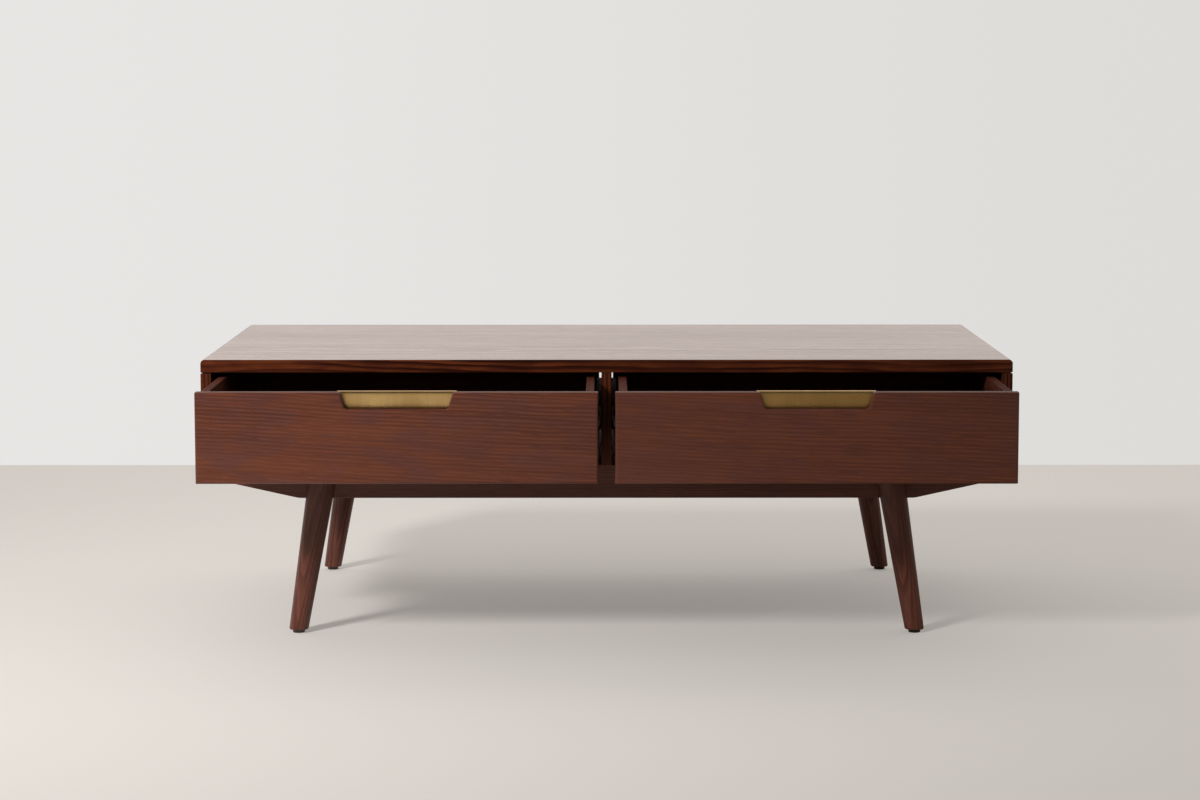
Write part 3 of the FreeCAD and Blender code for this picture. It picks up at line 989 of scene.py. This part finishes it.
@dataclass
class Leg:
    """Splayed leg, turned to a taper and lapped on its rail."""

    finishes: Finishes
    hand: Hand
    edge: Edge
    head_x: float = 0.422
    foot_x: float = 0.462
    head_radius: float = 0.0212
    foot_radius: float = 0.014
    edge_inset: float = 0.0212
    foot_round: float = 0.0015
    flat_share: float = 2.0
    round_spans: int = 3
    spans: int = 72
    rows: int = 14
    heart: Point = (0.1, 0.06, 0.05)

    def __post_init__(self) -> None:
        """Reads the leg's place from the frame."""
        self.name: str = f"{self.edge.word}_{self.hand.word}_leg"
        self.low, self.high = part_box(self.name)
        self.splay: float = (self.foot_x - self.head_x) / self.high.z
        self.middle_y: float = self.outer_y("top_panel") - self.edge.value * self.edge_inset

    def outer_y(self, node: str) -> float:
        """Y of a node's face towards the leg's edge of the table."""
        low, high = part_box(node)
        return low.y if self.edge is Edge.FRONT else high.y

    def axis_x(self, height: float | Array) -> float | Array:
        """X of the leaning axis at a height."""
        return self.hand.value * (self.foot_x - self.splay * height)

    def build(self) -> None:
        """Makes the leg, with its grain along its lean."""
        heart = along_log(self.heart, self.middle_y, self.axis_x(self.low.z))
        lean = math.atan(self.splay) * self.hand.value
        material = self.finishes.base.material(self.name + "_wood", GrainRun.ALONG_Z, heart, lean)
        place_piece("turned_" + self.name, [loft(self.rings())], material, "carcass", self.name)

    def rings(self) -> Array:
        """Level rings of the leg, from its foot to its head.

        Formula: at height z the ring is an ellipse about the leaning axis, widened along X by the lean. In
        the last two rings, over the rail's lower edge, points behind the rail's outer face are drawn out
        onto that face, which cuts the lap.

        Returns:
            Points as an array of ring, point and coordinate.
        """
        rail = self.edge.word + "_rail"
        rail_face, lap_z = self.outer_y(rail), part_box(rail)[0].z
        inset, rise = self.foot_round * quarter_round(self.round_spans).T
        flat = self.foot_round * self.flat_share
        shaft = np.linspace(self.low.z + flat, lap_z, self.rows)
        lap = [lap_z, self.high.z]
        height = np.concatenate([[self.low.z], self.low.z + rise, shaft, lap])
        trim = np.zeros_like(height)
        trim[:1 + len(inset)] = [flat, *inset]
        radius = self.foot_radius + (self.head_radius - self.foot_radius) * height / self.high.z - trim
        wide = radius * math.hypot(1.0, self.splay)
        angle = full_turn(self.spans)
        x = self.axis_x(height)[:, None] + wide[:, None] * np.cos(angle)
        y = self.middle_y + radius[:, None] * np.sin(angle)
        lapped = np.arange(len(height))[:, None] >= len(height) - len(lap)
        behind = (y - rail_face) * self.edge.value < 0.0
        y = np.where(lapped & behind, rail_face, y)
        return np.stack([x, y, np.broadcast_to(height[:, None], x.shape)], axis=-1)


@dataclass
class Underframe:
    """Rails, legs, glides, bolts and screws under the carcass."""

    finishes: Finishes
    glide_radius: float = 0.009
    glide_height: float = 0.005
    glide_round: float = 0.0012
    glide_lip: float = 0.0006
    glide_spans: int = 4
    rail_heart: Point = (0.4, 0.12, -0.33)
    cross_heart: Point = (2.0, 0.1, -0.3)
    cut_apart: float = 1.0

    def build(self) -> None:
        """Makes the legs and glides, and dresses the rails and fasteners."""
        wood = self.finishes.base
        for edge in Edge:
            rail = edge.word + "_rail"
            heart = along_log(self.rail_heart, self.cut_apart * edge.value)
            dress_node(rail, wood.material(rail + "_wood", GrainRun.ALONG_X, heart))
            for hand in Hand:
                Leg(self.finishes, hand, edge).build()
        for hand in Hand:
            rail = hand.word + "_cross_rail"
            heart = along_log(self.cross_heart, self.cut_apart * hand.value)
            dress_node(rail, wood.material(rail + "_wood", GrainRun.ALONG_Y, heart))
        self.glides()
        steel = self.finishes.bolt.material("fastener_zinc")
        for node in ("leg_bolts", "base_screws"):
            dress_node(node, steel)

    def glides(self) -> None:
        """Makes the four glides as turned pads.

        Formula: the profile goes out along the floor, round the lower edge, up the rim to a small lip and
        back in under the leg.
        """
        low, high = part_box("foot_glides")
        radius, height = self.glide_radius, self.glide_height
        inset, rise = self.glide_round * quarter_round(self.glide_spans).T
        edge = np.stack([radius - inset, rise], axis=1)
        inner = [[0.0, 0.0], [edge[0, 0] - self.glide_round, 0.0]]
        upper = [[radius, height - self.glide_lip], [radius - self.glide_lip, height], [0.0, height]]
        profile = np.concatenate([inner, edge, upper])
        pads = [lathe(profile, (x, y, low.z))
                for x in (low.x + radius, high.x - radius) for y in (low.y + radius, high.y - radius)]
        material = self.finishes.plastic.material("glide_black")
        place_piece("floor_glides", pads, material, "carcass", "foot_glides")


@dataclass(frozen=True)
class ScrewHead:
    """Raised screw head with a cross recess, facing the rear."""

    radius: float = 0.0026
    dome: float = 0.0005
    ring_shares: tuple[float, ...] = (0.0, 0.1, 0.2, 0.3, 0.42, 0.55, 0.62, 0.8, 1.0, 1.0)
    arm_share: float = 0.14
    recess_share: float = 0.6
    recess_depth_share: float = 1.6
    spans: int = 48

    def shell(self, place: Point) -> Shell:
        """Closed surface of one head.

        Formula: on a polar grid the height is the dome times one minus the squared share of the radius, less
        a recess where the place lies within the arms of a cross. The last ring drops to close the head.

        Args:
            place: Middle of the head's rim.

        Returns:
            The surface.
        """
        share = np.array(self.ring_shares)[:, None]
        angle = full_turn(self.spans)
        x = self.radius * share * np.cos(angle)
        z = self.radius * share * np.sin(angle)
        arm = np.minimum(np.abs(x), np.abs(z)) < self.radius * self.arm_share
        recess = np.where(arm & (share < self.recess_share), self.dome * self.recess_depth_share, 0.0)
        rise = self.dome * (1.0 - share ** 2) - recess
        rise[-1] = -self.dome
        return loft(np.array(place) + np.stack([x, rise, z], axis=-1))


@dataclass(frozen=True)
class FrontFigure:
    """Figure of a drawer front: its offset from the log's heart and how strongly the grain shows."""

    heart: Point
    contrast: float


@dataclass
class Drawer:
    """One drawer: notched front, brass pull, box boards and runners."""

    finishes: Finishes
    hand: Hand
    notch_top: float = 0.160
    notch_bottom: float = 0.145
    notch_depth: float = 0.024
    notch_round: float = 0.006
    shoulder_round: float = 0.0045
    corner_round: float = 0.0012
    front_edge: EasedEdge = EasedEdge(0.003, 0.0008)
    pull_wall: float = 0.0015
    pull_flange: float = 0.012
    pull_corner: float = 0.004
    pull_drop: float = 0.006
    pull_fold: float = 0.0025
    pull_lip: float = 0.008
    pull_ease: float = 0.0003
    pull_spans: int = 6
    screw: ScrewHead = ScrewHead()
    screw_shares: tuple[float, ...] = (-0.42, -0.14, 0.14, 0.42)
    grain_slope: float = -0.05
    left_figure: FrontFigure = FrontFigure((-0.7, 0.52, 0.22), 1.4)
    right_figure: FrontFigure = FrontFigure((0.7, 0.52, 0.1), 0.85)
    box_heart: Point = (0.0, 0.08, -0.26)
    box_length: float = 1.3
    box_rise: float = -0.03
    cut_apart: float = 1.0

    def __post_init__(self) -> None:
        """Reads the front's place from the frame."""
        self.body: str = self.hand.word + "_drawer"
        self.prefix: str = self.body + "_"
        self.low, self.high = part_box(self.prefix + "front")
        self.middle_x: float = (self.low.x + self.high.x) / 2

    def build(self) -> None:
        """Makes the front, the pull and its screws, and dresses the rest."""
        self.front()
        self.pull()
        self.pull_screws()
        self.boards()
        self.runners()

    def front(self) -> None:
        """Makes the front as a board with a notch in its upper edge, eased all round."""
        low, high, middle = self.low, self.high, self.middle_x
        floor_z = high.z - self.notch_depth
        top, bottom = self.notch_top / 2, self.notch_bottom / 2
        corners = [(low.x, low.z), (high.x, low.z), (high.x, high.z), (middle + top, high.z),
                   (middle + bottom, floor_z), (middle - bottom, floor_z), (middle - top, high.z),
                   (low.x, high.z)]
        notch = [self.shoulder_round, self.notch_round, self.notch_round, self.shoulder_round]
        radii = [self.corner_round] * 3 + notch + [self.corner_round]
        board = eased_slab(Outline(corners, radii), low.y, high.y, self.front_edge)
        figure = self.left_figure if self.hand is Hand.LEFT else self.right_figure
        finish = replace(self.finishes.wood, contrast=figure.contrast)
        node = self.prefix + "front"
        material = finish.material(node + "_wood", GrainRun.ALONG_X, figure.heart, self.grain_slope)
        place_piece(self.prefix + "notched_front", [board], material, self.body, node)

    def pull(self) -> None:
        """Makes the brass pull, a plate behind the notch with a lip folded back over its upper edge.

        Formula: a slim rectangle with eased edges is carried up the plate, round the fold and along the lip.
        Its half width follows the sine of the rounded corners, steps in to the tongue and then stays.
        """
        low_z = self.high.z - self.notch_depth - self.pull_flange
        half = self.notch_top / 2 + self.pull_flange
        shoulder_z = self.high.z - self.pull_drop
        tongue = self.notch_top / 2 + self.shoulder_round
        arc = quarter_round(self.pull_spans)
        inset, rise = self.pull_corner * arc.T
        corner = half - inset
        quarter = quarter_turn(self.pull_spans)
        fold = np.concatenate([quarter, quarter[-1:]])
        fold_z = self.high.z - np.concatenate([self.pull_fold * arc[:, 0], [0.0]])
        fold_y = np.concatenate([self.pull_fold * arc[:, 1], [self.pull_lip]])
        face_z = np.concatenate([low_z + rise, shoulder_z - rise[::-1], [shoulder_z], fold_z])
        width = np.concatenate([corner, corner[::-1], np.full(1 + len(fold), tongue)])
        plain = np.zeros(len(face_z) - len(fold))
        face_y = self.high.y + np.concatenate([plain, fold_y])
        turn = np.concatenate([plain, fold])
        side, trim, depth = self.pull_section()
        x = self.middle_x + side * (width[:, None] - trim)
        y = face_y[:, None] + np.cos(turn)[:, None] * depth
        z = face_z[:, None] - np.sin(turn)[:, None] * depth
        plate = loft(np.stack([x, y, z], axis=-1))
        material = self.finishes.brass.material(self.prefix + "brass", GrainRun.ALONG_Z)
        node = self.prefix + "pull"
        place_piece(self.prefix + "folded_pull", [plate], material, self.body, node)

    def pull_section(self) -> tuple[Array, Array, Array]:
        """Section of the pull's sheet, a slim rectangle whose corners are cut off by the ease.

        Returns:
            Side, trim of the half width and depth of each of its eight points.
        """
        ease, wall = self.pull_ease, self.pull_wall
        side = np.array([-1, 1, 1, 1, 1, -1, -1, -1])
        trim = ease * np.array([1, 1, 0, 0, 1, 1, 0, 0])
        depth = np.array([0.0, 0.0, ease, wall - ease, wall, wall, wall - ease, ease])
        return side, trim, depth

    def pull_screws(self) -> None:
        """Makes the raised heads of the pull's screws on the plate's rear face."""
        z = self.high.z - self.notch_depth - self.pull_flange / 2
        y = self.high.y + self.pull_wall
        heads = [self.screw.shell((self.middle_x + share * self.notch_bottom, y, z))
                 for share in self.screw_shares]
        material = self.finishes.brass.material(self.prefix + "screw_brass", GrainRun.ALONG_X)
        node = self.prefix + "pull_screws"
        place_piece(self.prefix + "pull_screw_heads", heads, material, self.body, node)

    def boards(self) -> None:
        """Dresses the box's boards, each cut further along the log, and its dowels."""
        runs = {"left_side": GrainRun.ALONG_Y, "right_side": GrainRun.ALONG_Y, "back": GrainRun.ALONG_X,
                "bottom": GrainRun.ALONG_X}
        for number, (board, run) in enumerate(runs.items()):
            node = self.prefix + board
            length = self.box_length * number + self.cut_apart * self.hand.value
            heart = along_log(self.box_heart, length, self.box_rise * number)
            dress_node(node, self.finishes.box.material(node + "_wood", run, heart))
        dowel = self.finishes.dowel.material(self.prefix + "dowel_wood", GrainRun.ALONG_Y, DOWEL_HEART)
        dress_node(self.prefix + "dowels", dowel)

    def runners(self) -> None:
        """Dresses both runners, their cages, balls and screws."""
        black = self.finishes.black.material(self.prefix + "black_steel")
        for hand in Hand:
            for member in ("_cabinet_runner", "_drawer_runner"):
                dress_node(self.prefix + hand.word + member, black)
        zinc = self.finishes.zinc.material(self.prefix + "zinc")
        for part in ("ball_cages", "balls", "runner_screws"):
            dress_node(self.prefix + part, zinc)


# Studio


@dataclass
class Studio:
    """Pale floor and backdrop with painted reflections and painted shade, soft light and the camera."""

    floor_colour: Colour = (0.604, 0.567, 0.531)
    # Painted reflection of the floor: brighter than the floor at the left, fading to painted shade at the
    # right
    floor_mirrored: Colour = (0.90, 0.845, 0.785)
    floor_mirrored_dim: Colour = (0.26, 0.195, 0.11)
    floor_half: float = 0.5
    floor_glow: float = 0.4
    wall_colour: Colour = (0.800, 0.790, 0.774)
    # Painted shade: the backdrop as seen darkens towards the right
    wall_painted_shade: Colour = (0.732, 0.718, 0.700)
    # Painted reflection of the backdrop: pinker than its seen colour, darker towards the right
    wall_mirrored: Colour = (0.86, 0.765, 0.715)
    wall_mirrored_dim: Colour = (0.76, 0.680, 0.635)
    wall_painted_grade_half: float = 1.3
    wall_glow: float = 1.7
    wall_y: float = 1.69
    wall_height: float = 6.0
    stage_reach: float = 14.0
    sky_strength: float = 0.58
    sky_mirrored: float = 0.1
    key_place: Point = (-2.9, -3.9, 2.9)
    key_target: Point = (-0.75, -0.4, 0.25)
    key_size: float = 0.8
    key_power: float = 18.4
    key_spread: float = 0.70
    camera_place: Point = (-0.00558, -4.48977, 0.83720)
    camera_pitch: float = 0.11244
    camera_yaw: float = -0.00095
    camera_roll: float = -0.00048
    camera_lens: float = 87.70
    sensor: float = 36.0

    def build(self) -> None:
        """Sets the stage, the world, the lamp and the camera."""
        bpy.context.scene.view_settings.view_transform = "Standard"
        self.floor()
        self.wall()
        self.world()
        self.key()
        self.camera()

    def stand(self, name: str, corners: list[Point], material: bpy.types.Material) -> None:
        """Adds one flat stage sheet.

        Args:
            name: Name of the sheet.
            corners: Its corners, anticlockwise as seen from its front.
            material: Its material.
        """
        mesh = bpy.data.meshes.new(name)
        mesh.from_pydata(corners, [], [tuple(range(len(corners)))])
        mesh.materials.append(material)
        sheet = bpy.data.objects.new(name, mesh)
        bpy.context.scene.collection.objects.link(sheet)
        LOG.info("%s set", name)

    def painted_grade(self, sheet: NodeSheet, half: float, left: Colour, right: Colour) -> Socket:
        """Puts out a painted grade of light: a colour that eases into another across a width about the
        middle.
        """
        share = sheet.ramp(sheet.axis(sheet.place(), "X"), -half, half)
        return sheet.blend(share, solid(left), solid(right))

    def looked_at(self, sheet: NodeSheet, path: bpy.types.NodeOutputs) -> Socket:
        """Puts out one for rays from the camera, straight or through glass."""
        return sheet.work_out("MAXIMUM", path["Is Camera Ray"], path["Is Transmission Ray"])

    def one_sided(self, sheet: NodeSheet, front: Socket) -> None:
        """Finishes a stage material that shows on its front and is clear from behind.

        Args:
            sheet: Sheet of the material.
            front: Shader of the front.
        """
        clear = sheet.add("ShaderNodeBsdfTransparent").outputs[0]
        behind = sheet.add("ShaderNodeNewGeometry").outputs["Backfacing"]
        sheet.add("ShaderNodeOutputMaterial", {"Surface": sheet.either(behind, front, clear)})

    def floor(self) -> None:
        """Lays the floor, which shows only from above.

        In reflections it shows a painted reflection, bright at the left and fading to painted shade at the
        right.
        """
        material, sheet = open_material("pale_floor")
        path = sheet.add("ShaderNodeLightPath").outputs
        # Painted reflection and painted shade, graded across X and seen by glossy rays only
        painted_reflection = self.painted_grade(sheet, self.floor_half, self.floor_mirrored, self.floor_mirrored_dim)
        tone = sheet.blend(path["Is Glossy Ray"], solid(self.floor_colour), painted_reflection)
        matt = sheet.add("ShaderNodeBsdfDiffuse", {"Color": tone}).outputs[0]
        glow = sheet.add("ShaderNodeEmission", {"Color": solid(self.floor_colour)}).outputs[0]
        looked = sheet.times(path["Is Camera Ray"], self.floor_glow)
        self.one_sided(sheet, sheet.either(looked, matt, glow))
        far = self.stage_reach
        corners = [(-far, -far, 0.0), (far, -far, 0.0), (far, far, 0.0), (-far, far, 0.0)]
        self.stand("floor", corners, material)

    def wall(self) -> None:
        """Stands the backdrop, which shows only from its front.

        A painted shade darkens it towards the right, and mirrored rays see a pinker painted reflection that
        darkens the same way.
        """
        material, sheet = open_material("pale_wall")
        path = sheet.add("ShaderNodeLightPath").outputs
        glossy = path["Is Glossy Ray"]
        shown = sheet.work_out("MAXIMUM", self.looked_at(sheet, path), glossy)
        strength = sheet.ramp(shown, 0.0, 1.0, self.wall_glow, 1.0, smooth=False)
        # Painted shade towards the right; mirrored rays get a painted reflection graded the same way
        seen = self.painted_grade(sheet, self.wall_painted_grade_half, self.wall_colour, self.wall_painted_shade)
        painted_reflection = self.painted_grade(sheet, self.wall_painted_grade_half, self.wall_mirrored, self.wall_mirrored_dim)
        tone = sheet.blend(glossy, seen, painted_reflection)
        front = sheet.add("ShaderNodeEmission", {"Color": tone, "Strength": strength}).outputs[0]
        self.one_sided(sheet, front)
        far, top, y = self.stage_reach, self.wall_height, self.wall_y
        corners = [(-far, y, 0.0), (far, y, 0.0), (far, y, top), (-far, y, top)]
        self.stand("backdrop", corners, material)

    def world(self) -> None:
        """Sets an even sky that is pale where it is seen and dim where it is mirrored."""
        world = bpy.data.worlds.new("studio")
        world.use_nodes = True
        bpy.context.scene.world = world
        sheet = NodeSheet(world.node_tree)
        path = sheet.add("ShaderNodeLightPath").outputs
        skies = ((WHITE, self.sky_strength), (self.wall_colour, self.sky_mirrored), (self.wall_colour, 1.0))
        light, painted_reflection, seen = [
            sheet.add("ShaderNodeBackground", {"Color": solid(colour), "Strength": strength}).outputs[0]
            for colour, strength in skies]
        dim = sheet.either(path["Is Glossy Ray"], light, painted_reflection)
        both = sheet.either(self.looked_at(sheet, path), dim, seen)
        sheet.add("ShaderNodeOutputWorld", {"Surface": both})

    def key(self) -> None:
        """Hangs the soft key lamp at the front left, hidden from the camera and from mirrored light."""
        lamp = bpy.data.lights.new("key", "AREA")
        lamp.shape = "SQUARE"
        lamp.size = self.key_size
        lamp.energy = self.key_power
        lamp.spread = self.key_spread
        holder = bpy.data.objects.new("key", lamp)
        holder.visible_camera = False
        holder.visible_glossy = False
        bpy.context.scene.collection.objects.link(holder)
        place = Vector(self.key_place)
        aim = (Vector(self.key_target) - place).to_track_quat("-Z", "Y")
        holder.matrix_world = Matrix.Translation(place) @ aim.to_matrix().to_4x4()

    def camera(self) -> None:
        """Stands the camera at the photograph's viewpoint."""
        data = bpy.data.cameras.new("view")
        data.lens = self.camera_lens
        data.sensor_width = self.sensor
        data.sensor_fit = "HORIZONTAL"
        holder = bpy.data.objects.new("view", data)
        bpy.context.scene.collection.objects.link(holder)
        yaw = Matrix.Rotation(-self.camera_yaw, 4, "Z")
        pitch = Matrix.Rotation(math.pi / 2 - self.camera_pitch, 4, "X")
        roll = Matrix.Rotation(self.camera_roll, 4, "Z")
        holder.matrix_world = Matrix.Translation(Vector(self.camera_place)) @ (yaw @ pitch @ roll)
        bpy.context.scene.camera = holder


def main() -> None:
    """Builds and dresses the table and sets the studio."""
    logging.basicConfig(level=logging.INFO, format="%(name)s: %(message)s")
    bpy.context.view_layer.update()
    finishes = Finishes.build(Effects.build())
    Tabletop(finishes).build()
    Carcass(finishes).build()
    Underframe(finishes).build()
    for hand in Hand:
        Drawer(finishes, hand).build()
    dress_node("cabinet_runner_screws", finishes.zinc.material("cabinet_screw_zinc"))
    Studio().build()


if __name__ == "__main__":
    main()
